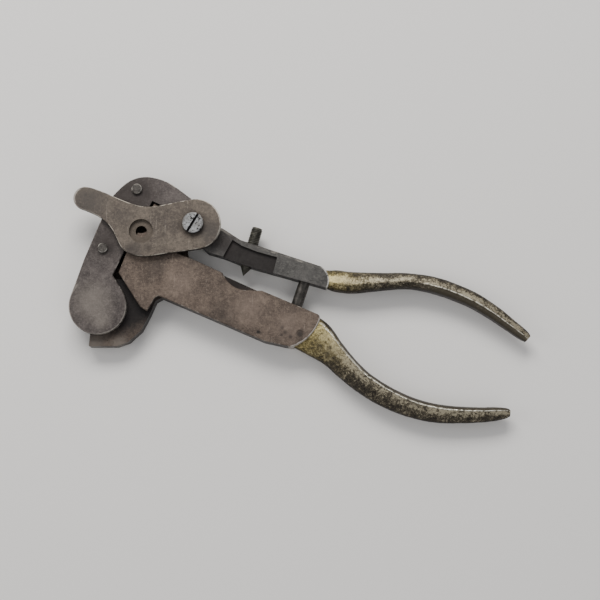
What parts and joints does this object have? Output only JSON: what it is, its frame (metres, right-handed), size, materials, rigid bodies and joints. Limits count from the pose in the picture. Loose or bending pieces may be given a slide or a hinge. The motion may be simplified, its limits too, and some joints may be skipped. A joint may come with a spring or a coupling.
{
  "type": "hand crimping tool",
  "caption": "Hand crimping tool: two bowed handles close a pair of jaws behind a swinging guide lever with a counterbored hole.",
  "frame": {"origin": "on the main pivot's axis, at the back face that the tool lies on", "axes": "+X along the tool towards the grips, +Y towards the upper handle, +Z out of the front face"},
  "size_m": [0.2144, 0.1151, 0.0185],
  "materials": {
    "brown_steel": "brown worn patina",
    "grey_steel": "grey worn patina",
    "rocker_steel": "grey-brown worn patina",
    "lever_steel": "tan-brown worn patina",
    "dark_steel": "dark oiled steel",
    "grip_metal": "worn gold over dark pits",
    "bright_steel": "worn bright steel",
    "screw_steel": "olive-black steel",
    "rod_steel": "dark polished steel",
    "pin_steel": "worn steel pin",
    "spring_steel": "spring steel"
  },
  "bodies": {
    "lower_handle": {"lower_body": "brown_steel", "lower_grip": "grip_metal", "lower_grip_pin": "pin_steel", "rocker_pivot_stud": "dark_steel", "stud_screw": "dark_steel", "pivot_screw": "bright_steel", "pivot_sleeve": "dark_steel", "lever_washer": "spring_steel", "return_spring": "spring_steel"},
    "upper_handle": {"upper_arm": "grey_steel", "upper_grip": "grip_metal", "upper_grip_pin": "pin_steel", "drive_pin": "pin_steel", "guide_rod": "rod_steel"},
    "rocker": {"rocker_plate": "rocker_steel", "rocker_jaw": "dark_steel", "upper_stop_pin": "pin_steel", "lower_stop_pin": "pin_steel"},
    "lever": {"front_lever": "lever_steel"},
    "closing_stop": {"stop_screw": "screw_steel"}
  },
  "joints": [
    {"name": "handle_hinge", "type": "hinge", "parent": "lower_handle", "child": "upper_handle", "pos_m": [0, 0, 0.0065], "axis": [0, 0, -1], "range_deg": [0, 10], "stiffness_Nm_per_rad": 1.5, "springref_deg": -11.46},
    {"name": "rocker_hinge", "type": "hinge", "parent": "lower_handle", "child": "rocker", "pos_m": [-0.044, -0.038, 0.011], "axis": [0, 0, -1], "range_deg": [0, 1.13]},
    {"name": "lever_hinge", "type": "hinge", "parent": "lower_handle", "child": "lever", "pos_m": [0, 0, 0.0146], "axis": [0, 0, -1], "range_deg": [-12, 8]},
    {"name": "stop_screw_travel", "type": "slide", "parent": "upper_handle", "child": "closing_stop", "axis": [-0.2831, -0.9591, 0], "range_m": [-0.003, 0.003]}
  ],
  "couplings": [
    {"joint": "rocker_hinge", "follows": "handle_hinge", "ratio": 0.113}
  ]
}
